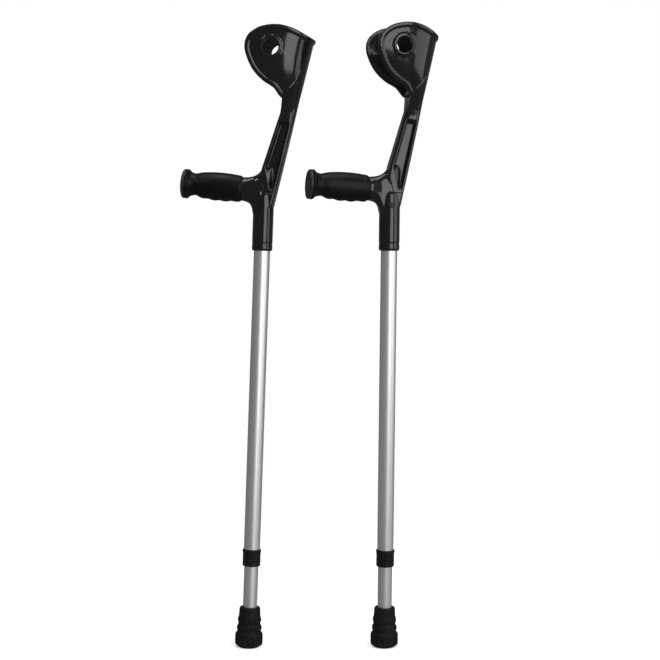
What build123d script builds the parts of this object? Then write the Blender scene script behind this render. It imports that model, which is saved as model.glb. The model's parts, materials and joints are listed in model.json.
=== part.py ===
"""A pair of forearm crutches: moulded cuff and handle, telescopic tubes, snap buttons and rubber tips.

Each crutch is drawn once in its own frame (floor at z = 0, tube axis on z, handle towards -x,
rear of the forearm bar towards +x) and then stood in its place in the pair.
"""
import os
from math import atan2, cos, radians, sin

from build123d import *

# Tubes and their fittings, in millimetres
OUTER_TUBE_D = 25.0
INNER_TUBE_D = 22.0
TUBE_WALL = 1.2
TUBE_BORE = INNER_TUBE_D + 0.6
TIP_TOP = 63.0
INNER_TUBE_FOOT = 13.0
INNER_TUBE_TOP = 440.0
WASHER_THICKNESS = 2.0
COLLAR_FOOT = 127.0
COLLAR_TOP = 153.0
COLLAR_D = 28.6
OUTER_TUBE_FOOT = COLLAR_FOOT + 3.0
OUTER_TUBE_TOP = 690.0

# Height setting: a row of holes in the outer tube, one snap button in the inner tube
HOLE_PITCH = 20.0
HOLE_COUNT = 13
HOLE_D = 9.0
BUTTON_HEIGHT = 415.0
BUTTON_D = 8.0
BUTTON_FACE = 15.7
FLANGE_D = 11.0
FLANGE_FACE = 7.4
FLANGE_THICKNESS = 1.2
SPRING_THICKNESS = 0.6
SPRING_WIDTH = 7.0
SPRING_BACK = 9.1
SPRING_ABOVE = 6.0
SPRING_BELOW = 38.0

# Black mouldings: socket and neck below the seam, forearm bar and cuff above it
SOCKET_FOOT = 613.0
SOCKET_TOP = 701.0
SOCKET_D = 31.6
RIVET_D = 5.0
RIVET_HEAD_D = 9.0
RIVET_HEIGHT = 682.0
SEAM_CORNER = (3.0, 701.0)
BAR_FOOT = (18.0, 694.0)
BAR_LEAN = atan2(51.0, 238.0)
BAR_HALF_WIDTH = 12.5
BAR_ROUNDING = 4.0
POCKET_DEPTH = 7.0
POCKET_RIB = 4.5
CUFF_WALL = 4.0
CUFF_RIM = 2.2
CUFF_RIM_WIDTH = 6.5
CUFF_HALF_WIDTH = 44.0
CUFF_HOLE_D = 25.0
CUFF_HOLE_AT = (9.5, 919.0)
CUFF_LIP_D = 33.0

# Handle, measured along its own axis from the tube axis
HANDLE_ROOT_HEIGHT = 704.5
HANDLE_RISE = radians(3.6)
HANDLE_CORE_D = 19.0
GRIP_START = 33.0
GRIP_NECK = 110.0
GRIP_END = 121.0
CAP_END = 127.0
CAP_D = 45.0
CAP_STEM_D = 11.0
CAP_STEM_LENGTH = 30.0
FINGER_GROOVES = (50.0, 68.0, 86.0, 104.0)
FINGER_GROOVE_R = 13.0
FINGER_GROOVE_DEPTH = 1.3

# How the two crutches stand: foot on x, turn about the tube, lean of the top to +x and to +y, in degrees.
# They lean past each other, so that either one can be lifted or lengthened without meeting the other.
PLACES = {"left": (-105.0, -8.0, 2.15, 1.1), "right": (105.0, 12.0, 0.62, -1.1)}
FOOT_SINK = 0.66


def on_bar(along, forward):
    """A point of the xz plane: so far along the bar's rear line, then so far forward of it."""
    x = BAR_FOOT[0] + along * sin(BAR_LEAN) - forward * cos(BAR_LEAN)
    z = BAR_FOOT[1] + along * cos(BAR_LEAN) + forward * sin(BAR_LEAN)
    return (x, z)


def rod(diameter, foot, top):
    """A round rod on the z axis."""
    return Pos(0, 0, foot) * Cylinder(diameter / 2, top - foot, align=(Align.CENTER, Align.CENTER, Align.MIN))


def tube(diameter, bore, foot, top):
    """A round tube on the z axis."""
    return rod(diameter, foot, top) - rod(bore, foot, top)


def cross_pin(diameter, x, z, start, end):
    """A round pin along y at (x, z), from y = start to y = end."""
    return Pos(x, start, z) * Rot(-90, 0, 0) * rod(diameter, 0, end - start)


def turned(points):
    """A solid of revolution about z, from its half section as (radius, height) pairs."""
    outline = Polyline(*[(radius, 0, height) for radius, height in points], close=True)
    return revolve(make_face(outline), Axis.Z)


def side_slab(edges, half_width):
    """A plate whose outline is drawn in the xz plane, half_width thick on each side of it."""
    face = make_face(Plane(origin=(0, 0, 0), x_dir=(1, 0, 0), z_dir=(0, -1, 0)) * Curve(edges))
    return extrude(face, half_width, dir=(0, 1, 0), both=True)


def handle_plane(along):
    """The plane square to the handle so far along its axis: its x is across, its y is up."""
    x = -along * cos(HANDLE_RISE)
    z = HANDLE_ROOT_HEIGHT + along * sin(HANDLE_RISE)
    return Plane(origin=(x, 0, z), x_dir=(0, 1, 0), z_dir=(-cos(HANDLE_RISE), 0, sin(HANDLE_RISE)))


def along_handle(diameter, start, end):
    """A round rod on the handle's axis."""
    return handle_plane(start) * rod(diameter, 0, end - start)


def handle_oval(along, half_height, half_width):
    """An oval section of the handle."""
    return handle_plane(along) * Ellipse(half_width, half_height)


def rubber_tip():
    """The ribbed ferrule: a tapered sleeve with two waists above a wide, chamfered foot."""
    bore = INNER_TUBE_D / 2
    outline = [(0, 0), (15, 0), (21.0, 5), (21.5, 8), (21.5, 19), (20.2, 22), (17.6, 24.5), (17.2, 27)]
    outline += [(18.2, 28.5), (18.0, 33), (16.0, 35), (15.8, 39), (17.0, 41), (16.6, 46), (14.8, 48)]
    outline += [(14.2, TIP_TOP - 1), (13.2, TIP_TOP), (bore, TIP_TOP)]
    outline += [(bore, INNER_TUBE_FOOT - WASHER_THICKNESS), (0, INNER_TUBE_FOOT - WASHER_THICKNESS)]
    tip = turned(outline)
    for tread_d in (10.0, 20.0):
        tip -= tube(tread_d + 2.4, tread_d, 0, 2.0)
    return tip


def tip_washer():
    """The steel disc that keeps the tube's end from cutting through the rubber."""
    return tube(INNER_TUBE_D - 0.4, 6.0, INNER_TUBE_FOOT - WASHER_THICKNESS, INNER_TUBE_FOOT)


def inner_tube():
    """The lower tube, with the button's hole on its far side."""
    body = tube(INNER_TUBE_D, INNER_TUBE_D - 2 * TUBE_WALL, INNER_TUBE_FOOT, INNER_TUBE_TOP)
    return body - cross_pin(BUTTON_D + 0.6, 0, BUTTON_HEIGHT, 0, OUTER_TUBE_D)


def guide_plug():
    """The plastic plug in the lower tube's top end, which steadies it in the upper tube."""
    tube_radius = INNER_TUBE_D / 2
    bore = tube_radius - TUBE_WALL
    outline = [(0, INNER_TUBE_TOP - 12), (bore - 1, INNER_TUBE_TOP - 12), (bore, INNER_TUBE_TOP - 10)]
    outline += [(bore, INNER_TUBE_TOP), (tube_radius, INNER_TUBE_TOP), (tube_radius, INNER_TUBE_TOP + 2)]
    outline += [(tube_radius - 1, INNER_TUBE_TOP + 3), (0, INNER_TUBE_TOP + 3)]
    return turned(outline)


def snap_button():
    """The button, with the flange that stops it inside the lower tube."""
    button = cross_pin(BUTTON_D, 0, BUTTON_HEIGHT, FLANGE_FACE, BUTTON_FACE)
    button = chamfer(button.faces().sort_by(Axis.Y)[-1].edges(), 1.2)
    return button + cross_pin(FLANGE_D, 0, BUTTON_HEIGHT, FLANGE_FACE - FLANGE_THICKNESS, FLANGE_FACE)


def leaf_spring():
    """The bent steel strip behind the button: two legs and the bow that joins them below."""
    front = FLANGE_FACE - FLANGE_THICKNESS
    bow_d = front + SPRING_BACK
    bow_height = BUTTON_HEIGHT - SPRING_BELOW
    ring = Cylinder(bow_d / 2, SPRING_WIDTH) - Cylinder(bow_d / 2 - SPRING_THICKNESS, SPRING_WIDTH)
    spring = Pos(0, front - bow_d / 2, bow_height) * Rot(0, 90, 0) * ring
    spring -= Pos(0, 0, bow_height + bow_d) * Box(2 * bow_d, 3 * bow_d, 2 * bow_d)
    leg_height = SPRING_BELOW + SPRING_ABOVE
    for face in (front - SPRING_THICKNESS / 2, SPRING_THICKNESS / 2 - SPRING_BACK):
        leg = Box(SPRING_WIDTH, SPRING_THICKNESS, leg_height)
        spring += Pos(0, face, bow_height + leg_height / 2) * leg
    return spring


def outer_tube():
    """The upper tube, with its row of height holes and its rivet hole."""
    body = tube(OUTER_TUBE_D, TUBE_BORE, OUTER_TUBE_FOOT, OUTER_TUBE_TOP)
    for step in range(HOLE_COUNT):
        body -= cross_pin(HOLE_D, 0, BUTTON_HEIGHT - step * HOLE_PITCH, 0, OUTER_TUBE_D)
    return body - cross_pin(RIVET_D, 0, RIVET_HEIGHT, -OUTER_TUBE_D, OUTER_TUBE_D)


def collar():
    """The plastic sleeve round the upper tube's lower end, which also guides the lower tube."""
    tube_radius = OUTER_TUBE_D / 2
    radius = COLLAR_D / 2
    outline = [(TUBE_BORE / 2, COLLAR_FOOT), (radius - 1.5, COLLAR_FOOT), (radius - 0.5, COLLAR_FOOT + 1)]
    outline += [(radius - 0.5, COLLAR_TOP - 5), (radius, COLLAR_TOP - 4.5), (radius, COLLAR_TOP - 1)]
    outline += [(radius - 0.8, COLLAR_TOP), (tube_radius, COLLAR_TOP)]
    outline += [(tube_radius, OUTER_TUBE_FOOT), (TUBE_BORE / 2, OUTER_TUBE_FOOT)]
    return turned(outline)


def socket_rivet():
    """The rivet that holds the upper tube in the moulding's socket."""
    half_length = SOCKET_D / 2
    rivet = cross_pin(RIVET_D, 0, RIVET_HEIGHT, -half_length, half_length)
    rivet += cross_pin(RIVET_HEAD_D, 0, RIVET_HEIGHT, half_length, half_length + 1.2)
    return rivet + cross_pin(RIVET_HEAD_D, 0, RIVET_HEIGHT, -half_length - 1.2, -half_length)


def bar_outline():
    """Outline of the neck and the forearm bar, from the handle's root up to the cuff."""
    front = [(-2.5, 739), (11, 785), (19.8, 822), (22.5, 840)]
    edges = [ThreePointArc((-15.5, 668), (-20.0, 682.6), (-31, 688))]
    edges += [Line((-31, 688), (-31, 724.6)), ThreePointArc((-31, 724.6), (-14.0, 727.8), front[0])]
    edges += [Spline(*front), Line(front[-1], on_bar(150, 0)), Line(on_bar(150, 0), BAR_FOOT)]
    return edges + [Line(BAR_FOOT, (15.5, 668)), Line((15.5, 668), (-15.5, 668))]


def pocket_outline():
    """Outline of the long recess in each side of the bar, pointed at its lower end."""
    lower = (11.5, 706)
    front = [(1.5 + 0.26 * rise, 745 + rise) for rise in (0, 68)]
    rear = [on_bar(118, POCKET_RIB), on_bar(18, POCKET_RIB)]
    return [Line(lower, front[0]), Line(*front), Line(front[1], rear[0]), Line(*rear), Line(rear[1], lower)]


def cuff_outline(inset=0.0):
    """The cuff from the side: rear line, falling top edge, round front and hollow underside."""
    rear_top = on_bar(246 - inset, 0)
    curve = [rear_top, (44, 947 - inset), (24, 952 - inset), (6, 951.5 - inset), (-13 + inset / 2, 945.5 - inset)]
    curve += [(-26 + inset, 934 - inset / 2), (-30 + inset, 920), (-26 + inset, 902 + inset / 2)]
    curve += [(-15 + inset / 2, 882 + inset), (0, 867.5 + inset), (13.5, 858.5 + inset), (22.5, 840)]
    heel = on_bar(135, 0)
    return [Spline(*curve), Line(curve[-1], heel), Line(heel, rear_top)]


def cuff_body(skin):
    """The filled form of the cuff, grown by skin: ovals along the bar, widening upwards."""
    ovals = [(118, 30, 13.0), (150, 60, 21.0), (176, 108, 34.0), (205, 142, 41.5), (262, 160, CUFF_HALF_WIDTH)]
    sections = []
    for along, depth, half_width in ovals:
        x, z = on_bar(along, depth / 2)
        plane = Plane(origin=(x, 0, z), x_dir=(-cos(BAR_LEAN), 0, sin(BAR_LEAN)),
                      z_dir=(sin(BAR_LEAN), 0, cos(BAR_LEAN)))
        sections.append(plane * Ellipse(depth / 2 + skin, half_width + skin))
    return loft(sections)


def cuff():
    """Two lobes with a raised rim, open at the front, each with a lipped round hole."""
    wall = cuff_body(0) - cuff_body(-CUFF_WALL)
    lobes = wall & side_slab(cuff_outline(), 2 * CUFF_HALF_WIDTH)
    rim = (cuff_body(CUFF_RIM) - cuff_body(-1)) & side_slab(cuff_outline(), 2 * CUFF_HALF_WIDTH)
    lobes += rim - side_slab(cuff_outline(CUFF_RIM_WIDTH), 2 * CUFF_HALF_WIDTH)
    reach = CUFF_HALF_WIDTH + CUFF_RIM
    ring = cross_pin(CUFF_LIP_D, *CUFF_HOLE_AT, -reach, reach)
    lobes += ring & (cuff_body(CUFF_RIM / 2) - cuff_body(-CUFF_WALL))
    return lobes - cross_pin(CUFF_HOLE_D, *CUFF_HOLE_AT, -2 * reach, 2 * reach)


def upper_region():
    """The space above the seam between the two mouldings: down the bar's front, then level to the rear."""
    corners = [(-6, 735), SEAM_CORNER, (140, SEAM_CORNER[1]), (140, 1000), (-60, 1000), (-60, 760)]
    edges = [Line(start, end) for start, end in zip(corners, corners[1:] + corners[:1])]
    return side_slab(edges, 2 * CUFF_HALF_WIDTH)


def moulding():
    """The whole black moulding: tube socket, handle core, forearm bar and cuff."""
    bar = side_slab(bar_outline(), BAR_HALF_WIDTH)
    bar = fillet(bar.edges().filter_by(lambda edge: edge.length > 140), BAR_ROUNDING)
    for side in (-1, 1):
        pocket = side_slab(pocket_outline(), POCKET_DEPTH / 2)
        bar -= Pos(0, side * (BAR_HALF_WIDTH - POCKET_DEPTH / 2), 0) * pocket
    socket = rod(SOCKET_D, SOCKET_FOOT, SOCKET_TOP)
    socket = chamfer(socket.faces().sort_by(Axis.Z)[0].edges(), 1.2)
    root = loft([handle_oval(4, 17.5, 15.0), handle_oval(GRIP_START, 18.0, 15.5)])
    core = along_handle(HANDLE_CORE_D, GRIP_START - 1, GRIP_END - 3)
    core -= along_handle(CAP_STEM_D, GRIP_END - 3 - CAP_STEM_LENGTH, GRIP_END)
    frame = bar + socket + root + core + cuff()
    frame -= rod(OUTER_TUBE_D, SOCKET_FOOT, OUTER_TUBE_TOP)
    return frame - cross_pin(RIVET_D, 0, RIVET_HEIGHT, -SOCKET_D, SOCKET_D)


def handle_body():
    """The lower moulding: tube socket, neck and handle core."""
    return moulding() - upper_region()


def forearm_support():
    """The upper moulding: forearm bar and cuff."""
    return moulding() & upper_region()


def grip():
    """The soft sleeve on the handle: swelling palm, narrow neck, flared end, finger grooves below."""
    ovals = [(GRIP_START, 18.0, 15.5), (46, 20.1, 16.4), (62, 21.0, 17.0), (80, 21.0, 17.2), (97, 19.4, 16.8)]
    palm = loft([handle_oval(*oval) for oval in ovals + [(GRIP_NECK, 17.4, 16.0)]])
    flare = loft([handle_oval(GRIP_NECK, 17.4, 16.0), handle_oval(GRIP_END - 3, 21.8, 21.4)], ruled=True)
    flange = loft([handle_oval(GRIP_END - 3, 21.8, 21.4), handle_oval(GRIP_END, 22.5, 22.5)], ruled=True)
    sleeve = palm + flare + flange
    for along in FINGER_GROOVES:
        below = 20.5 + FINGER_GROOVE_R - FINGER_GROOVE_DEPTH
        groove = Pos(0, -below, 0) * Rot(0, 90, 0) * rod(2 * FINGER_GROOVE_R, -OUTER_TUBE_D, OUTER_TUBE_D)
        sleeve -= handle_plane(along) * groove
    return sleeve - along_handle(HANDLE_CORE_D, GRIP_START - 1, GRIP_END + 1)


def grip_cap():
    """The round end cap, with the stem that plugs into the handle core."""
    disc = along_handle(CAP_D, GRIP_END, CAP_END)
    disc = fillet(disc.faces().sort_by(Axis.X)[0].edges(), 2.0)
    filler = along_handle(HANDLE_CORE_D, GRIP_END - 3, GRIP_END)
    return disc + filler + along_handle(CAP_STEM_D, GRIP_END - 3 - CAP_STEM_LENGTH, GRIP_END - 3)


PIECES = {
    "forearm_support": forearm_support,
    "handle_body": handle_body,
    "grip": grip,
    "grip_cap": grip_cap,
    "outer_tube": outer_tube,
    "socket_rivet": socket_rivet,
    "collar": collar,
    "inner_tube": inner_tube,
    "guide_plug": guide_plug,
    "snap_button": snap_button,
    "leaf_spring": leaf_spring,
    "rubber_tip": rubber_tip,
    "tip_washer": tip_washer,
}


def main():
    """Draw one crutch, stand it in both places, centre the pair on the origin and write the pieces."""
    drawn = {name: draw() for name, draw in PIECES.items()}
    floor = Box(1000, 1000, 10, align=(Align.CENTER, Align.CENTER, Align.MAX))
    placed = {}
    for side, (x, turn, lean_x, lean_y) in PLACES.items():
        stand = Pos(x, 0, -FOOT_SINK) * Rot(0, lean_x, 0) * Rot(-lean_y, 0, 0) * Rot(0, 0, turn)
        for name, solid in drawn.items():
            placed[f"{side}_{name}"] = stand * solid
        placed[f"{side}_rubber_tip"] -= floor
    box = Compound(children=[Compound([solid]) for solid in placed.values()]).bounding_box()
    shift = Pos(-box.center().X, -box.center().Y, -box.min.Z)
    print("shift", [round(value, 3) for value in shift.position], "size", box.size)
    os.makedirs("parts", exist_ok=True)
    for name, solid in placed.items():
        export_step(shift * solid, os.path.join("parts", f"{name}.step"))


main()
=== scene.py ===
# %% [markdown]
# # A pair of forearm crutches
# Each crutch is a glossy black moulding (cuff, forearm bar, neck and socket), a soft grip with an end
# cap, two anodised tubes that slide in each other, a collar and a ribbed rubber tip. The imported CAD
# model is the fixed frame: every piece below is drawn in one crutch's own axes, in millimetres, and is
# then stood in both places.

# %% Load the frame
import json

import bpy
import mathutils
import numpy as np
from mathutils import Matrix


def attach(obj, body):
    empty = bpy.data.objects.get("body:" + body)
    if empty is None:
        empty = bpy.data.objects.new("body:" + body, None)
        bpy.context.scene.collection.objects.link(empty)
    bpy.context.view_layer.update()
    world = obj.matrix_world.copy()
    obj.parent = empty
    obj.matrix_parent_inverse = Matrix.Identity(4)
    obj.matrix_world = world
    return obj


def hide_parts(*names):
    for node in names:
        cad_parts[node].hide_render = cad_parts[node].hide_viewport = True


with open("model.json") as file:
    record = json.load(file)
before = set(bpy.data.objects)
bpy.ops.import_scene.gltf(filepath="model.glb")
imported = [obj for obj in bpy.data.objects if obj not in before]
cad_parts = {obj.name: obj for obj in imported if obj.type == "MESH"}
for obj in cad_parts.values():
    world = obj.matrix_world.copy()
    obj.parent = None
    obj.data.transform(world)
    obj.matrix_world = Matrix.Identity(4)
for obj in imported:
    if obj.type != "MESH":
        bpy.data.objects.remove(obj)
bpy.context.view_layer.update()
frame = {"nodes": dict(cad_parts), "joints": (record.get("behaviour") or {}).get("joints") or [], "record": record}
SIDES = ("left", "right")

# %% [markdown]
# ## The two places
# The joints say how each crutch stands. The height slide runs along the tube, the snap button moves
# across it, and the foot's mount is on the tube's axis. Those three give a local set of axes: z up the
# tube, y away from the viewer, x to the rear of the forearm bar.

# %% Local axes of each crutch
FOOT_SINK = 0.66  # how far the slanting foot is pressed into the floor, in millimetres
axes = {joint["name"]: np.array(joint["axis"], float) for joint in frame["joints"]}
mounts = {mount["name"]: np.array(mount["pos_m"], float) for mount in frame["record"]["mounts"]}


def crutch_axes(side):
    """Rows x, y, z of the crutch's own axes, and its origin, in metres."""
    up = axes[side + "_height"]
    across = -axes[side + "_button_press"]
    turn = np.array([np.cross(across, up), across, up])
    return turn, mounts[side + "_foot_face"] - up * FOOT_SINK / 1000


PLACES = {side: crutch_axes(side) for side in SIDES}


def stand(side, points):
    """Points in a crutch's own axes, in millimetres, put in their place in metres."""
    turn, origin = PLACES[side]
    return np.asarray(points, float) / 1000 @ turn + origin


for side in SIDES:
    foot, top = np.round(stand(side, [(0, 0, 0), (0, 0, 950)]), 4)
    print(side, "foot at", foot, "and top at", top)

# %% [markdown]
# ## Surfaces from arrays
# A surface is a grid of rings. Each ring is closed, so its last point joins its first; the first and last
# rings are closed by a fan to their middle, or joined to each other where the piece is hollow. The
# volume under the faces tells which way they point, so a shell that is inside out is turned round.


# %% Mesh helpers
def closed_skin(rings, hollow=False):
    """Faces over rings of shape (rows, columns, 3): quads between neighbours, and a fan or a join at
    the two ends."""
    rows, columns = rings.shape[:2]
    grid = np.arange(rows * columns).reshape(rows, columns)
    if hollow:
        grid = np.vstack([grid, grid[:1]])
    near, far = grid[:-1], grid[1:]
    quads = np.stack([near, np.roll(near, -1, 1), np.roll(far, -1, 1), far], -1).reshape(-1, 4)
    points = rings.reshape(-1, 3)
    faces = quads.tolist()
    if not hollow:
        middles = np.array([rings[0].mean(0), rings[-1].mean(0)])
        points = np.vstack([points, middles])
        foot, top = rows * columns, rows * columns + 1
        first, last = grid[0], grid[-1]
        faces += np.stack([np.roll(first, -1), first, np.full(columns, foot)], -1).tolist()
        faces += np.stack([last, np.roll(last, -1), np.full(columns, top)], -1).tolist()
    a, b, c = points[quads[:, 0]], points[quads[:, 1]], points[quads[:, 2]]
    if np.einsum("ij,ij->i", a - points.mean(0), np.cross(b - a, c - a)).sum() < 0:
        faces = [face[::-1] for face in faces]
    return points, faces


def joined(*skins):
    """Several skins as one list of points and faces."""
    starts = np.cumsum([0] + [len(points) for points, _ in skins])
    faces = [[index + start for index in face] for start, (_, part) in zip(starts, skins) for face in part]
    return np.vstack([points for points, _ in skins]), faces


def add_piece(name, body, skin, material, node):
    """A mesh object that rides on a body, stands for a CAD node and takes a slot's finish."""
    points, faces = skin
    mesh = bpy.data.meshes.new(name)
    mesh.from_pydata(points.tolist(), [], faces)
    mesh.validate()
    mesh.polygons.foreach_set("use_smooth", np.ones(len(mesh.polygons), bool))
    mesh.materials.append(material)
    piece = bpy.data.objects.new(name, mesh)
    bpy.context.scene.collection.objects.link(piece)
    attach(piece, body)
    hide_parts(node)
    return piece


def rounded(outline, radius, steps=6):
    """An open outline whose corners are eased: each becomes a short quadratic curve that starts and ends
    at most radius from the corner, or 0.45 of the shorter side."""
    outline = np.asarray(outline, float)
    sides = np.linalg.norm(np.diff(outline, axis=0), axis=1)
    reach = np.minimum(radius, 0.45 * np.minimum(sides[:-1], sides[1:]))[:, None]
    corner = outline[1:-1]
    before = corner + (outline[:-2] - corner) * reach / sides[:-1, None]
    after = corner + (outline[2:] - corner) * reach / sides[1:, None]
    t = np.linspace(0, 1, steps)[None, :, None]
    curve = (1 - t) ** 2 * before[:, None] + 2 * t * (1 - t) * corner[:, None] + t**2 * after[:, None]
    return np.vstack([outline[:1], curve.reshape(-1, 2), outline[-1:]])


def smooth_through(knots, values, at):
    """Smooth values between knots: cubics whose slope at a knot is the mean of its neighbours'."""
    knots, values, at = (np.asarray(v, float) for v in (knots, values, at))
    slopes = np.gradient(values, knots)
    span = np.clip(np.searchsorted(knots, at, side="right") - 1, 0, len(knots) - 2)
    width = knots[span + 1] - knots[span]
    t = np.clip((at - knots[span]) / width, 0, 1)
    start, end = values[span], values[span + 1]
    return (
        (2 * t**3 - 3 * t**2 + 1) * start
        + (t**3 - 2 * t**2 + t) * width * slopes[span]
        + (3 * t**2 - 2 * t**3) * end
        + (t**3 - t**2) * width * slopes[span + 1]
    )


def ease(value, low, high):
    """0 below low, 1 above high, and a smooth step between them."""
    t = np.clip((value - low) / (high - low), 0, 1)
    return t * t * (3 - 2 * t)


def between(value, low, low_full, high_full, high):
    """1 from low_full to high_full, 0 outside low..high, and smooth slopes between."""
    return ease(value, low, low_full) * ease(-value, -high, -high_full)


def lathe(outline, segments=96, wobble=None):
    """A ring turned about z: each outline point (r, z) gives (r cos a, r sin a, z). wobble(r, z, a) may
    change the radius round the turn."""
    outline = np.asarray(outline, float)
    angle = np.linspace(0, 2 * np.pi, segments, endpoint=False)[None, :]
    radius = outline[:, :1] + 0 * angle
    height = outline[:, 1:] + 0 * angle
    if wobble is not None:
        radius = radius + wobble(radius, height, angle)
    return np.stack([radius * np.cos(angle), radius * np.sin(angle), height], -1)


print("helpers ready")

# %% [markdown]
# ## Finishes
# Everything here is moulded, extruded or turned, so no surface is perfectly even. Each finish starts from
# the Principled shader. Noise in the piece's own Object coordinates changes its roughness and gives it a
# slight relief, at the size the real one has: slow waves in the gloss of a moulding, fine lines drawn
# along an extruded tube, a leathery grain on the grip and a dusty bloom on the rubber foot.


# %% Finish helpers
def new_finish(name, colour, roughness, metallic=0.0):
    """A material with its Principled shader set, and its Object coordinates ready to use."""
    material = bpy.data.materials.new(name)
    material.use_nodes = True
    nodes, links = material.node_tree.nodes, material.node_tree.links
    shader = nodes["Principled BSDF"]
    shader.inputs["Base Color"].default_value = (*colour, 1)
    shader.inputs["Roughness"].default_value = roughness
    shader.inputs["Metallic"].default_value = metallic
    coordinates = nodes.new("ShaderNodeTexCoord")
    return material, nodes, links, shader, coordinates.outputs["Object"]


def noise(nodes, links, place, scale, detail=4.0, stretch=(1, 1, 1), turn=(0, 0, 0)):
    """Noise of that many features a metre, squeezed along each axis by stretch."""
    mapping = nodes.new("ShaderNodeMapping")
    mapping.inputs["Scale"].default_value = stretch
    mapping.inputs["Rotation"].default_value = turn
    texture = nodes.new("ShaderNodeTexNoise")
    texture.inputs["Scale"].default_value = scale
    texture.inputs["Detail"].default_value = detail
    links.new(place, mapping.inputs["Vector"])
    links.new(mapping.outputs["Vector"], texture.inputs["Vector"])
    return texture.outputs["Fac"]


def spread(nodes, links, value, low, high, start=0.3, end=0.7):
    """The value's range start..end turned into low..high."""
    ranger = nodes.new("ShaderNodeMapRange")
    ranger.inputs["From Min"].default_value = start
    ranger.inputs["From Max"].default_value = end
    ranger.inputs["To Min"].default_value = low
    ranger.inputs["To Max"].default_value = high
    links.new(value, ranger.inputs["Value"])
    return ranger.outputs["Result"]


def relief(nodes, links, shader, height, distance, strength, below=None):
    """A bump of that height in metres under the shader's normal, on top of another bump."""
    bump = nodes.new("ShaderNodeBump")
    bump.inputs["Distance"].default_value = distance
    bump.inputs["Strength"].default_value = strength
    links.new(height, bump.inputs["Height"])
    if below is not None:
        links.new(below, bump.inputs["Normal"])
    links.new(bump.outputs["Normal"], shader.inputs["Normal"])
    return bump.outputs["Normal"]


def tint(nodes, links, shader, value, dark, light):
    """The base colour runs from dark to light with the value."""
    mix = nodes.new("ShaderNodeMix")
    mix.data_type = "RGBA"
    mix.inputs[6].default_value = (*dark, 1)
    mix.inputs[7].default_value = (*light, 1)
    links.new(value, mix.inputs["Factor"])
    links.new(mix.outputs[2], shader.inputs["Base Color"])


# %% Glossy black moulding
def black_moulding():
    """Near-black gloss with slow sink waves, fine scuffs in the roughness and faint flow clouds."""
    material, nodes, links, shader, place = new_finish("black_gloss", (0.006, 0.006, 0.0065), 0.12)
    shader.inputs["Specular IOR Level"].default_value = 0.32
    waves = noise(nodes, links, place, 38, 1.5)
    scuffs = noise(nodes, links, place, 900, 3, stretch=(1, 1, 0.12))
    clouds = noise(nodes, links, place, 22, 3)
    links.new(spread(nodes, links, scuffs, 0.09, 0.24, 0.45, 0.75), shader.inputs["Roughness"])
    tint(nodes, links, shader, clouds, (0.004, 0.004, 0.0045), (0.009, 0.009, 0.010))
    low = relief(nodes, links, shader, waves, 0.0012, 0.35)
    relief(nodes, links, shader, scuffs, 0.00003, 0.12, low)
    return material


# %% Soft grip
def grip_rubber():
    """Satin black with a leathery grain about a millimetre across and hand wear in the roughness."""
    material, nodes, links, shader, place = new_finish("grip_satin", (0.004, 0.004, 0.004), 0.42)
    shader.inputs["Specular IOR Level"].default_value = 0.1
    grain = nodes.new("ShaderNodeTexVoronoi")
    grain.inputs["Scale"].default_value = 1100
    links.new(place, grain.inputs["Vector"])
    wear = noise(nodes, links, place, 45, 4)
    links.new(spread(nodes, links, wear, 0.3, 0.52), shader.inputs["Roughness"])
    tint(nodes, links, shader, wear, (0.0025, 0.0025, 0.0025), (0.005, 0.005, 0.005))
    relief(nodes, links, shader, grain.outputs["Distance"], 0.00018, 0.5)
    return material


# %% Matt end cap
def cap_plastic():
    """Dark grey spark-eroded plastic: an even fine grain that scatters the light."""
    material, nodes, links, shader, place = new_finish("cap_matt", (0.015, 0.015, 0.016), 0.48)
    shader.inputs["Specular IOR Level"].default_value = 0.25
    grain = noise(nodes, links, place, 1800, 2)
    wear = noise(nodes, links, place, 60, 4)
    links.new(spread(nodes, links, wear, 0.38, 0.58), shader.inputs["Roughness"])
    tint(nodes, links, shader, wear, (0.009, 0.009, 0.010), (0.020, 0.020, 0.021))
    relief(nodes, links, shader, grain, 0.00010, 0.5)
    return material


# %% Satin collar plastic
def collar_plastic():
    """Satin black with light rub marks where the tubes pass."""
    material, nodes, links, shader, place = new_finish("collar_satin", (0.004, 0.004, 0.004), 0.34)
    shader.inputs["Specular IOR Level"].default_value = 0.15
    rub = noise(nodes, links, place, 260, 5, stretch=(1, 1, 0.2))
    links.new(spread(nodes, links, rub, 0.26, 0.48), shader.inputs["Roughness"])
    tint(nodes, links, shader, rub, (0.003, 0.003, 0.003), (0.007, 0.007, 0.0075))
    relief(nodes, links, shader, rub, 0.00006, 0.4)
    return material


# %% Anodised tube
def anodised_tube(side):
    """Satin anodised aluminium: fine lines drawn along this crutch's tube, and a soft cloudy sheen."""
    material, nodes, links, shader, place = new_finish("anodised_" + side, (0.62, 0.625, 0.635), 0.41, 0.92)
    lean = axes[side + "_height"]
    turn = (float(lean[1]), -float(lean[0]), 0.0)
    lines = noise(nodes, links, place, 1500, 3, stretch=(1, 1, 0.012), turn=turn)
    clouds = noise(nodes, links, place, 30, 4, stretch=(1, 1, 0.25), turn=turn)
    links.new(spread(nodes, links, lines, 0.37, 0.47), shader.inputs["Roughness"])
    tint(nodes, links, shader, clouds, (0.585, 0.59, 0.60), (0.66, 0.665, 0.672))
    relief(nodes, links, shader, lines, 0.00003, 0.35)
    return material


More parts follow.
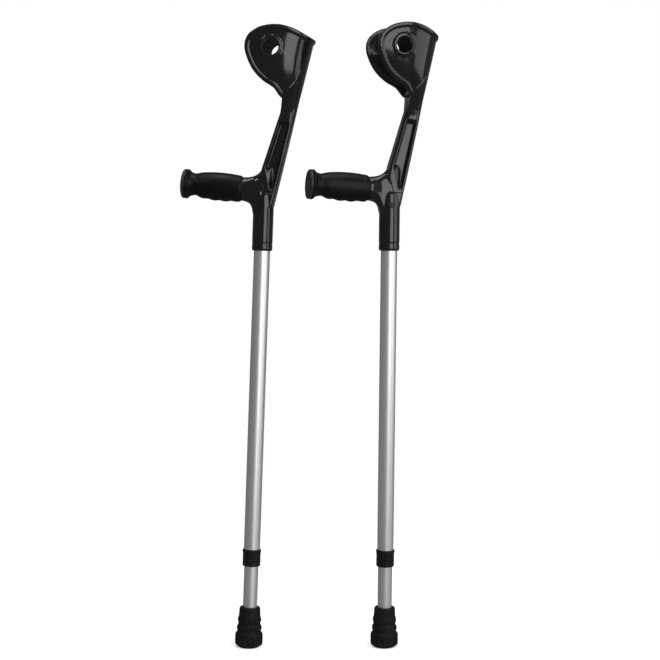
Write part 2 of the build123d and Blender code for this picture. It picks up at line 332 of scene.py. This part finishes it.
# %% Bright steel
def fitting_steel():
    """Zinc-plated steel with fine scratches and slightly cloudy plating."""
    material, nodes, links, shader, place = new_finish("zinc_steel", (0.60, 0.60, 0.61), 0.26, 1.0)
    scratches = noise(nodes, links, place, 1400, 4, stretch=(0.2, 1, 1))
    links.new(spread(nodes, links, scratches, 0.18, 0.42), shader.inputs["Roughness"])
    tint(nodes, links, shader, scratches, (0.52, 0.52, 0.53), (0.68, 0.68, 0.68))
    relief(nodes, links, shader, scratches, 0.00003, 0.3)
    return material


# %% Tip rubber
def tip_rubber():
    """Matt black rubber, greyer where dust and scuffs have settled near the floor."""
    material, nodes, links, shader, place = new_finish("tip_matt", (0.004, 0.004, 0.004), 0.6)
    shader.inputs["Specular IOR Level"].default_value = 0.12
    grain = noise(nodes, links, place, 1500, 4)
    dust = noise(nodes, links, place, 110, 5)
    links.new(spread(nodes, links, grain, 0.5, 0.75), shader.inputs["Roughness"])
    tint(nodes, links, shader, dust, (0.0025, 0.0025, 0.0025), (0.007, 0.007, 0.0067))
    relief(nodes, links, shader, grain, 0.00012, 0.6)
    return material


MOULDING, GRIP, CAP, COLLAR = black_moulding(), grip_rubber(), cap_plastic(), collar_plastic()
TUBES = {side: anodised_tube(side) for side in SIDES}
STEEL, RUBBER = fitting_steel(), tip_rubber()
print("finishes:", [m.name for m in bpy.data.materials])

# %% [markdown]
# ## Pieces that stay as they are
# The two tubes with their height holes, the rivet, the button, its spring, the washer and the guide plug
# already have the right shape. They only take a finish.

# %% Finish the kept CAD nodes
KEPT = {
    "outer_tube": TUBES,
    "inner_tube": TUBES,
    "guide_plug": COLLAR,
    "leaf_spring": STEEL,
    "tip_washer": STEEL,
    "snap_button": STEEL,
    "socket_rivet": COLLAR,
}
for side in SIDES:
    for node, finish in KEPT.items():
        piece = frame["nodes"][f"{side}_{node}"]
        piece.data.materials.clear()
        piece.data.materials.append(finish[side] if isinstance(finish, dict) else finish)
print("kept:", sorted(KEPT))

# %% [markdown]
# ## Rubber tip
# The tip is turned: a sleeve, two bands and a wide foot. Lugs are moulded round the bands and the foot,
# so the outline's radius also dips at even steps round the turn, only there. The crutch leans and the
# rubber is pressed flat by its weight, so no point goes below the floor.

# %% Rubber tip
TIP_OUTLINE = [
    (0, 0), (5, 0), (5, 2), (6.2, 2), (6.2, 0), (10, 0), (10, 2), (11.2, 2), (11.2, 0), (15, 0),
    (21, 5), (21.5, 8), (21.5, 19), (20.8, 22), (18.6, 24.5), (18.2, 27), (19.4, 28.5), (19.1, 33),
    (17.4, 35.2), (17.1, 39.2), (18.4, 41), (18.0, 46), (16.7, 48.5), (16.1, 61.2), (14.6, 63),
    (11.2, 63), (11.2, 12), (0, 12),
]
LUGS = 14
# Each band of lugs: where its valleys start, are full, end being full and end; their depth; and their turn
LUG_BANDS = [
    (6.5, 9, 18, 20.5, 1.7, 0),
    (27.5, 29, 32.5, 34, 1.4, np.pi),
    (40, 41.5, 45.5, 47, 1.2, 0),
]
BORE_CLEAR = (13.5, 14.5)


def tip_lugs(radius, height, angle):
    """Valleys round each band, of depth d ((1 - cos(14 a + turn)) / 2)^4, and none in the bore."""
    valleys = 0
    for start, full, full_end, end, depth, turn in LUG_BANDS:
        round_it = ((1 - np.cos(LUGS * angle + turn)) / 2) ** 4
        valleys = valleys + depth * between(height, start, full, full_end, end) * round_it
    return -ease(radius, *BORE_CLEAR) * valleys


for side in SIDES:
    rings = lathe(rounded(TIP_OUTLINE, 1.1), 224, tip_lugs)
    points, faces = closed_skin(rings)
    points = stand(side, points)
    points[:, 2] = np.maximum(points[:, 2], 0.0)
    skin = (points, faces)
    tip = add_piece(side + "_ribbed_tip", side + "_lower", skin, RUBBER, side + "_rubber_tip")
print("tip:", len(tip.data.polygons), "faces")

# %% [markdown]
# ## Collar
# A short moulded sleeve with a bead at the top, a rounded lower lip and a fine parting groove. It is
# turned too, and hollow, so that the lower tube runs through it.

# %% Collar
COLLAR_OUTLINE = [
    (11.35, 127), (13.0, 126.9), (13.9, 128.4), (13.8, 131.6), (13.45, 132.0), (13.45, 132.6),
    (13.8, 133.0), (13.75, 147.6), (14.3, 148.4), (14.35, 151.8), (13.6, 153), (12.55, 153),
    (12.55, 130), (11.35, 130),
]
for side in SIDES:
    rings = lathe(rounded(COLLAR_OUTLINE, 0.5), 128)
    points, faces = closed_skin(rings, hollow=True)
    skin = (stand(side, points), faces)
    name, body, node = side + "_collar_sleeve", side + "_upper", side + "_collar"
    collar = add_piece(name, body, skin, COLLAR, node)
print("collar:", len(collar.data.polygons), "faces")

# %% [markdown]
# ## Grip and end cap
# The grip is a soft sleeve on a straight core. Its section is an oval that swells for the palm, narrows
# before the end and flares out to the cap. Fingers press four shallow waves into the underside. The
# same surface runs back along the core, so the sleeve is hollow.

# %% Handle axis
HANDLE_ROOT = np.array([0.0, 0.0, 704.5])
HANDLE_RISE = np.radians(3.6)
ALONG = np.array([-np.cos(HANDLE_RISE), 0, np.sin(HANDLE_RISE)])
ACROSS = np.array([0.0, 1.0, 0.0])
ABOVE = np.array([np.sin(HANDLE_RISE), 0, np.cos(HANDLE_RISE)])


def on_handle(along, across, above):
    """Points measured along the handle, across it and above it, in the crutch's own axes."""
    return HANDLE_ROOT + along[..., None] * ALONG + across[..., None] * ACROSS + above[..., None] * ABOVE


# %% Grip sleeve
CORE_RADIUS = 9.6
KNOTS = [33.0, 35.0, 46, 62, 80, 97, 110, 115, 118, 120.4, 120.9]
HALF_HEIGHTS = [17.6, 18.9, 20.9, 21.9, 21.6, 19.8, 17.4, 19.0, 21.8, 22.5, 21.9]
HALF_WIDTHS = [14.8, 15.9, 16.6, 17.2, 17.4, 16.9, 16.0, 18.2, 21.4, 22.5, 21.9]
FINGERS = (50.0, 68.0, 86.0, 104.0)
WAVE_DEPTH = 1.3
WAVE_LENGTH = 5.2
PARTING_HEIGHT = 0.12


def grip_rings(rows=190, columns=144):
    """Ovals (w(s) cos a, h(s) sin a) along the handle, less a finger wave 1.3 exp(-((s - f) / 5.2)^2) on the
    underside and a parting line round the middle; then the straight bore back to the start."""
    along = np.linspace(KNOTS[0], KNOTS[-1], rows)[:, None]
    angle = np.linspace(0, 2 * np.pi, columns, endpoint=False)[None, :]
    height = smooth_through(KNOTS, HALF_HEIGHTS, along)
    width = smooth_through(KNOTS, HALF_WIDTHS, along)
    below = ease(-np.sin(angle), 0.05, 0.75)
    waves = sum(np.exp(-(((along - finger) / WAVE_LENGTH) ** 2)) for finger in FINGERS)
    parting = np.exp(-((np.sin(angle) / 0.02) ** 2)) * ease(-along, -112, -108)
    shrink = 1.0 - (WAVE_DEPTH * below * waves - PARTING_HEIGHT * parting) / height
    outer = on_handle(along + 0 * angle, width * shrink * np.cos(angle), height * shrink * np.sin(angle))
    back = np.linspace(KNOTS[-1], KNOTS[0], 24)[:, None]
    across, above = CORE_RADIUS * np.cos(angle) + 0 * back, CORE_RADIUS * np.sin(angle) + 0 * back
    bore = on_handle(back + 0 * angle, across, above)
    return np.concatenate([outer, bore])


for side in SIDES:
    points, faces = closed_skin(grip_rings(), hollow=True)
    skin = (stand(side, points), faces)
    grip = add_piece(side + "_grip_sleeve", side + "_upper", skin, GRIP, side + "_grip")
print("grip:", len(grip.data.polygons), "faces")

# %% [markdown]
# The cap is turned about the handle's axis: a disc with a rounded edge, a shallow dished face and a
# ring round the middle, on the stem that holds it in the core.

# %% End cap
CAP_OUTLINE = [
    (0, 90), (5.3, 90), (5.3, 118), (9.3, 118), (9.3, 121.2), (21.4, 121.2), (22.4, 122.2),
    (22.4, 125.2), (20.6, 127), (18.2, 127), (17.4, 126.2), (12.2, 126.0), (11.6, 125.2),
    (10.4, 125.2), (9.8, 126.1), (0, 126.5),
]


def cap_rings():
    """The outline turned about the handle: (s, r) becomes the point r (cos a, sin a) off the axis at s."""
    rings = lathe(rounded(CAP_OUTLINE, 0.7), 128)
    return on_handle(rings[..., 2], rings[..., 0], rings[..., 1])


for side in SIDES:
    points, faces = closed_skin(cap_rings())
    skin = (stand(side, points), faces)
    cap = add_piece(side + "_end_cap", side + "_upper", skin, CAP, side + "_grip_cap")
print("cap:", len(cap.data.polygons), "faces")

# %% [markdown]
# ## The black mouldings
# Cuff, bar, neck and socket flow into one another on the real crutch, with a seam across the neck where
# two mouldings meet. Each region is easy to write down on its own: a turned socket, ovals carried along
# the handle's root, rounded rectangles carried up the bar with a pocket pressed into each side, and a
# curved sheet for the cuff. They are joined, and a fine remesh with a little smoothing fuses them and
# rounds their edges, as a mould's edges are. Blocks then cut the hole, a groove along the seam, the seam
# itself and the tube's bore.

# %% Bar coordinates
BAR_FOOT = np.array([18.0, 694.0])
BAR_LEAN = np.arctan2(51.0, 238.0)
LEAN_SIN, LEAN_COS = np.sin(BAR_LEAN), np.cos(BAR_LEAN)


def from_bar(along, forward, across):
    """Points so far along the bar's rear line, forward of it (towards the grip) and across."""
    x = BAR_FOOT[0] + along * LEAN_SIN - forward * LEAN_COS
    z = BAR_FOOT[1] + along * LEAN_COS + forward * LEAN_SIN
    return np.stack([x, across + 0 * x, z], -1)


def to_bar(x, z):
    """Along and forward of points given by x and z."""
    dx, dz = x - BAR_FOOT[0], z - BAR_FOOT[1]
    return dx * LEAN_SIN + dz * LEAN_COS, dz * LEAN_SIN - dx * LEAN_COS


# %% Forearm bar
BAR_HALF_WIDTH = 12.5
FRONT_KNOTS = [-14, 10, 28, 40, 60, 87.5, 110, 125.5, 143.7, 156]
FRONT_DEPTHS = [22, 25, 29.8, 29.9, 28.4, 26.4, 24.9, 23.8, 23.6, 22.0]
CORNER_KNOTS = [-14, 60, 108, 156]
CORNERS = [4.2, 4.2, 6.5, 11.5]
POCKET_DEPTH = 6.2
POCKET_RIB = 4.6
POCKET_SLOPE = 2.2
POCKET_V = 0.46


def rounded_rectangle(per_side=(34, 22), per_corner=9):
    """A rounded rectangle as an inner rectangle's points, in -1..1, and the way that each is pushed out."""
    down = np.linspace(1, -1, per_side[0])
    wide = np.linspace(1, -1, per_side[1])
    quarter = np.linspace(0, np.pi / 2, per_corner + 2)[1:-1]
    inner, push = [], []
    for turn in range(4):
        line = down if turn % 2 == 0 else wide
        facing = turn * np.pi / 2
        spin = np.array([[np.cos(facing), -np.sin(facing)], [np.sin(facing), np.cos(facing)]])
        arc = np.stack([np.cos(quarter), np.sin(quarter)], -1)
        inner += [np.stack([np.ones_like(line), -line], -1) @ spin.T, np.ones((per_corner, 2)) @ spin.T]
        push += [np.tile([1.0, 0.0], (len(line), 1)) @ spin.T, arc @ spin.T]
    return np.vstack(inner), np.vstack(push)


def pocket_depth(along, forward, front):
    """How far the side is pressed in, inside an outline that follows both ribs and ends in a V below."""
    limit = np.minimum(front - POCKET_RIB, 9 + (along - 8) * POCKET_V)
    inside = ease(forward - POCKET_RIB, 0, POCKET_SLOPE) * ease(limit - forward, 0, POCKET_SLOPE)
    return POCKET_DEPTH * inside * between(along, 9, 14, 110, 117)


def bar_rings(rows=230):
    """Rounded rectangles up the bar: across 25, from the rear line to the front curve, pockets pressed in."""
    inner, push = rounded_rectangle()
    along = np.linspace(FRONT_KNOTS[0], FRONT_KNOTS[-1], rows)[:, None]
    front = smooth_through(FRONT_KNOTS, FRONT_DEPTHS, along)
    corner = smooth_through(CORNER_KNOTS, CORNERS, along)
    forward = front / 2 + inner[:, 1] * (front / 2 - corner) + push[:, 1] * corner
    across = inner[:, 0] * (BAR_HALF_WIDTH - corner) + push[:, 0] * corner
    across = across - np.sign(across) * (np.abs(push[:, 0]) > 0.95) * pocket_depth(along, forward, front)
    return from_bar(along, forward, across)


print("bar:", FRONT_KNOTS[-1] - FRONT_KNOTS[0], "mm long,", 2 * BAR_HALF_WIDTH, "mm across")

# %% Neck and socket
TOP_KNOTS = [-34, -31, -22, -14, -8, -2.5, 4, 13]
TOP_LINE = [724.4, 724.6, 725.4, 727.9, 732, 738.6, 744, 745]
FOOT_KNOTS = [-34, -31, -25, -20, -17, -15.5, -10, 13]
FOOT_LINE = [688.4, 688, 686.2, 682.4, 676, 669, 660, 660]
WIDTH_KNOTS = [-34, -31, -24, -16, -8, 0, 8, 13]
HALF_WIDTH_LINE = [15.3, 15.3, 14.2, 12.9, 12.3, 12.3, 12.0, 8.6]


def neck_rings(rows=90, columns=96):
    """Squarish ovals |y/w|^n + |z/h|^n = 1 along x, from the grip's start to the bar's foot. The top and
    bottom lines open out like a trumpet on each side of the handle's root."""
    along = np.linspace(-34, 13, rows)[:, None]
    top = smooth_through(TOP_KNOTS, TOP_LINE, along)
    foot = smooth_through(FOOT_KNOTS, FOOT_LINE, along)
    half_width = smooth_through(WIDTH_KNOTS, HALF_WIDTH_LINE, along)
    power = smooth_through([-34, -24, -8, 13], [2.0, 2.25, 3.0, 3.0], along)
    angle = np.linspace(0, 2 * np.pi, columns, endpoint=False)[None, :]
    cosine, sine = np.cos(angle), np.sin(angle)
    y = half_width * np.sign(cosine) * np.abs(cosine) ** (2 / power)
    z = (top + foot) / 2 + (top - foot) / 2 * np.sign(sine) * np.abs(sine) ** (2 / power)
    return np.stack([along + 0 * angle, y, z], -1)


SOCKET_OUTLINE = [
    (0, 613), (14.4, 613), (15.8, 614.6), (15.8, 622), (15.3, 623), (15.3, 624.6), (15.8, 625.6),
    (15.8, 688), (15.0, 697), (12.4, 704), (8, 709), (0, 711),
]
CORE_OUTLINE = [(0, 20), (9.5, 20), (9.5, 118), (5.6, 118), (5.6, 88), (0, 88)]


def handle_core_rings():
    """The straight core under the grip: a rod on the handle's axis, open to the cap's stem at the far end."""
    rings = lathe(rounded(CORE_OUTLINE, 0.4), 64)
    return on_handle(rings[..., 2], rings[..., 0], rings[..., 1])


print("socket:", SOCKET_OUTLINE[0][1], "to", SOCKET_OUTLINE[-1][1], "mm above the foot")


# %% [markdown]
# ### Cuff
# From the side the cuff is an ear-shaped lobe; from above it is a U that opens towards the grip. So its
# sheet is laid out on two numbers: the angle round the U and the distance along the bar. The lobe's edge
# is drawn from the side, and each edge point is changed into that pair. Between the edges the sheet is
# four millimetres thick, with a raised rim, a shallow dished panel and a lip round the strap hole.

# %% Cuff outline
OVAL_KNOTS = [112, 118, 134, 150, 176, 205, 262]
OVAL_DEPTHS = [26, 28, 42, 60, 108, 142, 160]
OVAL_HALF_WIDTHS = [12.5, 13.0, 16.2, 21.5, 33.5, 41.0, 43.6]
SQUARENESS = 2.35
TOP_EDGE = np.array([
    (69.2, 934.7), (58, 940.4), (44, 947), (24, 952), (6, 951.5), (-13, 945.5), (-26, 934), (-30, 920),
])
LOWER_EDGE = np.array([(-30, 920), (-26, 902), (-15, 882), (0, 868), (13.8, 859.5), (21.6, 848.6)])
HEEL = [(1.3, 141), (0.8, 129), (0.0, 118)]
HOLE_AT = np.array([9.5, 919.0])
HOLE_RADIUS = 12.5
CUFF_WALL = 4.0
RIM_HEIGHT, RIM_SLOPE = 2.1, (-7.2, -5.6)
LIP_HEIGHT, LIP_SLOPE = 2.4, (-18.2, -16.4)
PANEL_DEPTH = 1.5
REACH_ROUND = 0.985


def eased_line(points, count=160):
    """A smooth line through points, from cubics over the distance along them."""
    steps = np.r_[0, np.cumsum(np.linalg.norm(np.diff(points, axis=0), axis=1))]
    at = np.linspace(0, steps[-1], count)
    return np.stack([smooth_through(steps, points[:, 0], at), smooth_through(steps, points[:, 1], at)], -1)


whole_edge = eased_line(np.vstack([TOP_EDGE, LOWER_EDGE[1:]]), 400)


def angle_round(x, z):
    """The angle round the U, 0 at the rear line, of a point on the cuff's surface seen from the side."""
    along, forward = to_bar(x, z)
    share = 1 - 2 * forward / smooth_through(OVAL_KNOTS, OVAL_DEPTHS, along)
    share = np.clip(share, -1, 1)
    return np.arccos(np.sign(share) * np.abs(share) ** (SQUARENESS / 2)), along


def cuff_surface(angle, along):
    """Squarish ovals along the bar: forward = D/2 (1 - c), across = W s, with c and s the cosine and sine
    of the angle to the power 2 / squareness; D and W grow along the bar."""
    depth = smooth_through(OVAL_KNOTS, OVAL_DEPTHS, along) / 2
    half_width = smooth_through(OVAL_KNOTS, OVAL_HALF_WIDTHS, along)
    cosine, sine = np.cos(angle), np.sin(angle)
    c = np.sign(cosine) * np.abs(cosine) ** (2 / SQUARENESS)
    s = np.sign(sine) * np.abs(sine) ** (2 / SQUARENESS)
    return from_bar(along, depth * (1 - c), half_width * s)


def cuff_normals(angle, along):
    """The way out of the sheet: the cross product of its two small steps."""
    step = 0.004
    round_it = cuff_surface(angle + step, along) - cuff_surface(angle - step, along)
    up_it = cuff_surface(angle, along + 0.5) - cuff_surface(angle, along - 0.5)
    normal = np.cross(round_it, up_it)
    return normal / (np.linalg.norm(normal, axis=-1, keepdims=True) + 1e-12)


# %% Cuff sheet
edge_angle, edge_along = angle_round(whole_edge[:, 0], whole_edge[:, 1])
tip_index = int(np.argmax(edge_angle))
LOBE_ANGLE = float(edge_angle[tip_index])


def edge_distance(points):
    """Distance, seen from the side, from each point to the lobe's edge."""
    flat = points[..., [0, 2]].reshape(-1, 1, 2)
    gaps = np.linalg.norm(flat - whole_edge[None, ::4], axis=-1).min(1)
    return gaps.reshape(points.shape[:-1])


def panel_depth(points):
    """The dished panel: a rounded triangle, point down, between the rim, the rear corner and the heel."""
    x, z = points[..., 0], points[..., 2]
    along, forward = to_bar(x, z)
    inside = ease(edge_distance(points), 9, 13) * ease(forward, 19, 23) * ease(along, 158, 170)
    return PANEL_DEPTH * inside


def cuff_rings(columns=300, rows=110):
    """The sheet's two faces as closed rings: out over the outer face, back under the inner one."""
    share = np.sin(np.linspace(-1, 1, columns) * np.pi / 2 * REACH_ROUND)
    angle = (LOBE_ANGLE * share)[:, None]
    upper = np.interp(np.abs(angle), edge_angle[: tip_index + 1], edge_along[: tip_index + 1])
    heel = np.array(HEEL)
    lower_angle = np.r_[edge_angle[tip_index:], heel[:, 0]][::-1]
    lower_along = np.r_[edge_along[tip_index:], heel[:, 1]][::-1]
    lower = np.interp(np.abs(angle), lower_angle, lower_along)
    along = lower + (upper - lower) * np.linspace(0, 1, rows)[None, :]
    angle = angle + 0 * along
    sheet, normal = cuff_surface(angle, along), cuff_normals(angle, along)
    middle = from_bar(along, 45 + 0 * along, 0 * along)
    normal = normal * np.sign(np.sum(normal * (sheet - middle), -1, keepdims=True))
    gap = edge_distance(sheet)
    rim = RIM_HEIGHT * ease(-gap, *RIM_SLOPE)
    from_hole = np.linalg.norm(sheet[..., [0, 2]] - HOLE_AT, axis=-1)
    lip = LIP_HEIGHT * ease(-from_hole, *LIP_SLOPE)
    outer = np.maximum(rim - panel_depth(sheet), lip - 1.0 * (lip > 0.01))
    faces = [sheet + normal * outer[..., None], (sheet - normal * CUFF_WALL)[:, ::-1]]
    return np.concatenate(faces, 1)


FLOOR_KNOTS = [120, 138, 148, 158, 170, 196]
FLOOR_LIMITS = [21, 22.6, 23.2, 20, 11, 3.0]


def channel_floor_rings(rows=80, columns=120):
    """The solid floor of the U above the bar: each oval cut off at a forward limit that falls from the
    bar's front to nothing, so the bar's front runs into the cuff in one slope."""
    along = np.linspace(120, 196, rows)[:, None]
    angle = np.linspace(-np.pi, np.pi, columns, endpoint=False)[None, :]
    limit = smooth_through(FLOOR_KNOTS, FLOOR_LIMITS, along)
    depth = smooth_through(OVAL_KNOTS, OVAL_DEPTHS, along)
    half_width = smooth_through(OVAL_KNOTS, OVAL_HALF_WIDTHS, along)
    cosine, sine = np.cos(angle), np.sin(angle)
    forward = depth / 2 * (1 - np.sign(cosine) * np.abs(cosine) ** (2 / SQUARENESS))
    across = half_width * np.sign(sine) * np.abs(sine) ** (2 / SQUARENESS)
    return from_bar(along, 1.0 + np.minimum(forward, limit) * 0.97, 0.96 * across)


print("lobe reaches round", round(float(np.degrees(LOBE_ANGLE))), "degrees")


# %% Fuse and cut
def workpiece(name, skin):
    """A passing object in the crutch's own millimetres."""
    points, faces = skin
    mesh = bpy.data.meshes.new(name)
    mesh.from_pydata(points.tolist(), [], faces)
    piece = bpy.data.objects.new(name, mesh)
    bpy.context.scene.collection.objects.link(piece)
    return piece


def finished(piece, kind, **settings):
    """The piece with one modifier applied."""
    modifier = piece.modifiers.new(kind, kind)
    for key, value in settings.items():
        setattr(modifier, key, value)
    shape = bpy.data.meshes.new_from_object(piece.evaluated_get(bpy.context.evaluated_depsgraph_get()))
    piece.modifiers.clear()
    piece.data = shape
    return piece


def cut(piece, skin, operation="DIFFERENCE"):
    """The piece less a block, or only what is inside the block."""
    block = workpiece("block", skin)
    finished(piece, "BOOLEAN", object=block, operation=operation, solver="MANIFOLD")
    bpy.data.objects.remove(block)
    return piece


def slab(corners, near_y, far_y):
    """A flat block whose outline is drawn from the side, anticlockwise, so that its faces point out."""
    corners = np.asarray(corners, float)
    near = np.insert(corners, 1, near_y, 1)
    far = np.insert(corners, 1, far_y, 1)
    count = len(corners)
    index = np.arange(count)
    sides = np.stack([index, index + count, np.roll(index, -1) + count, np.roll(index, -1)], -1)
    return np.vstack([near, far]), sides.tolist() + [index.tolist(), (index + count)[::-1].tolist()]


def cross_rod(x, z, radius, reach):
    """A round block across the crutch at (x, z)."""
    rings = lathe([(0, -reach), (radius, -reach), (radius, reach), (0, reach)], 96)
    return np.stack([rings[..., 0] + x, rings[..., 2], -rings[..., 1] + z], -1)


VOXEL = 0.95
SMOOTH_STEPS = 11
TUBE_BORE = [(0, 600), (12.55, 600), (12.55, 690), (0, 690)]
CUT_REACH = 80
SEAM = [(-6, 735), (3, 701), (140, 701), (140, 1000), (-60, 1000), (-60, 760)]
SEAM_GAP = 0.01
GROOVE = [(-6.4, 736.5), (2.6, 700.6), (60, 700.6), (60, 701.4), (3.2, 701.4), (-5.6, 736.5)]
GROOVE_FLOOR = 11.4
GROOVE_REAR = [(18.5, 700.6), (60, 700.6), (60, 701.4), (18.5, 701.4)]

regions = [bar_rings(), neck_rings(), lathe(rounded(SOCKET_OUTLINE, 1.2), 128), handle_core_rings()]
regions += [cuff_rings(), channel_floor_rings()]
whole = workpiece("moulding", joined(*[closed_skin(rings) for rings in regions]))
finished(whole, "REMESH", mode="VOXEL", voxel_size=VOXEL)
finished(whole, "SMOOTH", factor=0.5, iterations=SMOOTH_STEPS)
cut(whole, closed_skin(cross_rod(*HOLE_AT, HOLE_RADIUS, CUT_REACH)))
cut(whole, slab(GROOVE, GROOVE_FLOOR, CUT_REACH))
cut(whole, slab(GROOVE, -CUT_REACH, -GROOVE_FLOOR))
cut(whole, slab(GROOVE_REAR, -CUT_REACH, CUT_REACH))
upper = bpy.data.objects.new("upper_moulding", whole.data.copy())
bpy.context.scene.collection.objects.link(upper)
cut(upper, slab(np.array(SEAM) + SEAM_GAP, -CUT_REACH, CUT_REACH), "INTERSECT")
cut(whole, slab(np.array(SEAM) - SEAM_GAP, -CUT_REACH, CUT_REACH))
cut(whole, closed_skin(lathe(TUBE_BORE, 96)))
for piece in (upper, whole):
    print(piece.name, "has", sum(len(face.vertices) - 2 for face in piece.data.polygons), "triangles")


# %% Stand the mouldings
def place_copy(side, template, name, node):
    """A copy of a millimetre template, stood in its place in the frame, on the crutch's upper body."""
    turn, origin = PLACES[side]
    matrix = np.eye(4)
    matrix[:3, :3] = turn.T / 1000
    matrix[:3, 3] = origin
    mesh = template.data.copy()
    mesh.name = name
    mesh.transform(mathutils.Matrix(matrix))
    mesh.polygons.foreach_set("use_smooth", np.ones(len(mesh.polygons), bool))
    mesh.materials.clear()
    mesh.materials.append(MOULDING)
    piece = bpy.data.objects.new(name, mesh)
    bpy.context.scene.collection.objects.link(piece)
    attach(piece, side + "_upper")
    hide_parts(node)
    return piece


for side in SIDES:
    place_copy(side, upper, side + "_cuff_and_bar", side + "_forearm_support")
    place_copy(side, whole, side + "_neck_and_socket", side + "_handle_body")
for template in (upper, whole):
    bpy.data.objects.remove(template)
print("mouldings stand in both places")

# %% [markdown]
# ## Floor, light and camera
# A pale floor and an even surround, a large soft light from the right front and another from the right
# side, a broad one above and a small one high on the left. A round tube mirrors what is beside it, so the
# tubes show a dark left third and a bright band right of the middle. The floor lights itself a little,
# because only then does it run into the white surround with no edge.

# %% Floor
bpy.ops.mesh.primitive_circle_add(vertices=96, radius=0.9, fill_type="NGON")
floor = bpy.context.active_object
floor.name = "pale_floor"
floor_finish, nodes, links, shader, place = new_finish("pale_floor", (0.93, 0.93, 0.93), 0.9)
floor.data.materials.append(floor_finish)
shader.inputs["Emission Color"].default_value = (1, 1, 1, 1)
shader.inputs["Emission Strength"].default_value = 0.45
floor.visible_glossy = False

# %% Surround
world = bpy.data.worlds.new("pale_surround")
bpy.context.scene.world = world
world.use_nodes = True
nodes, links = world.node_tree.nodes, world.node_tree.links
nodes.clear()
output = nodes.new("ShaderNodeOutputWorld")
seen = nodes.new("ShaderNodeBackground")
seen.inputs["Color"].default_value = (1, 1, 1, 1)
lighting = nodes.new("ShaderNodeBackground")
lighting.inputs["Color"].default_value = (0.97, 0.98, 1, 1)
lighting.inputs["Strength"].default_value = 0.2
path = nodes.new("ShaderNodeLightPath")
mix = nodes.new("ShaderNodeMixShader")
links.new(path.outputs["Is Camera Ray"], mix.inputs["Fac"])
links.new(lighting.outputs["Background"], mix.inputs[1])
links.new(seen.outputs["Background"], mix.inputs[2])
links.new(mix.outputs["Shader"], output.inputs["Surface"])


# %% Lights
def soft_light(name, at, towards, size, power, colour=(1, 1, 1)):
    """A rectangular area light at a point, facing another."""
    lamp = bpy.data.lights.new(name, "AREA")
    lamp.shape = "RECTANGLE"
    lamp.size, lamp.size_y = size
    lamp.energy = power
    lamp.color = colour
    light = bpy.data.objects.new(name, lamp)
    bpy.context.scene.collection.objects.link(light)
    direction = mathutils.Vector(towards) - mathutils.Vector(at)
    light.location = at
    light.rotation_euler = direction.to_track_quat("-Z", "Y").to_euler()
    return light


soft_light("key_right_front", (1.18, -2.28, 1.1), (0, 0, 0.55), (1.4, 2.0), 42)
soft_light("side_right", (2.3, -0.75, 1.0), (0, 0, 0.55), (1.6, 1.8), 22)
soft_light("top_soft", (0.0, -0.3, 2.6), (0, 0, 0), (1.6, 1.2), 30)
soft_light("window_left_top", (-1.5, -1.6, 2.4), (0, 0, 0.8), (0.4, 0.4), 7)

# %% Camera
LENS = 85.8
PITCH = np.radians(90 - 3.79)
ROLL = np.radians(-0.09)
CAMERA_AT = (0.0329, -2.4, 0.65)
camera_data = bpy.data.cameras.new("camera")
camera_data.sensor_width = 36
camera_data.lens = LENS
camera = bpy.data.objects.new("camera", camera_data)
bpy.context.scene.collection.objects.link(camera)
camera.location = CAMERA_AT
look = mathutils.Matrix.Rotation(PITCH, 4, "X") @ mathutils.Matrix.Rotation(ROLL, 4, "Z")
camera.rotation_euler = look.to_euler()
bpy.context.scene.camera = camera
bpy.context.scene.view_settings.view_transform = "Standard"
print("camera at", CAMERA_AT)
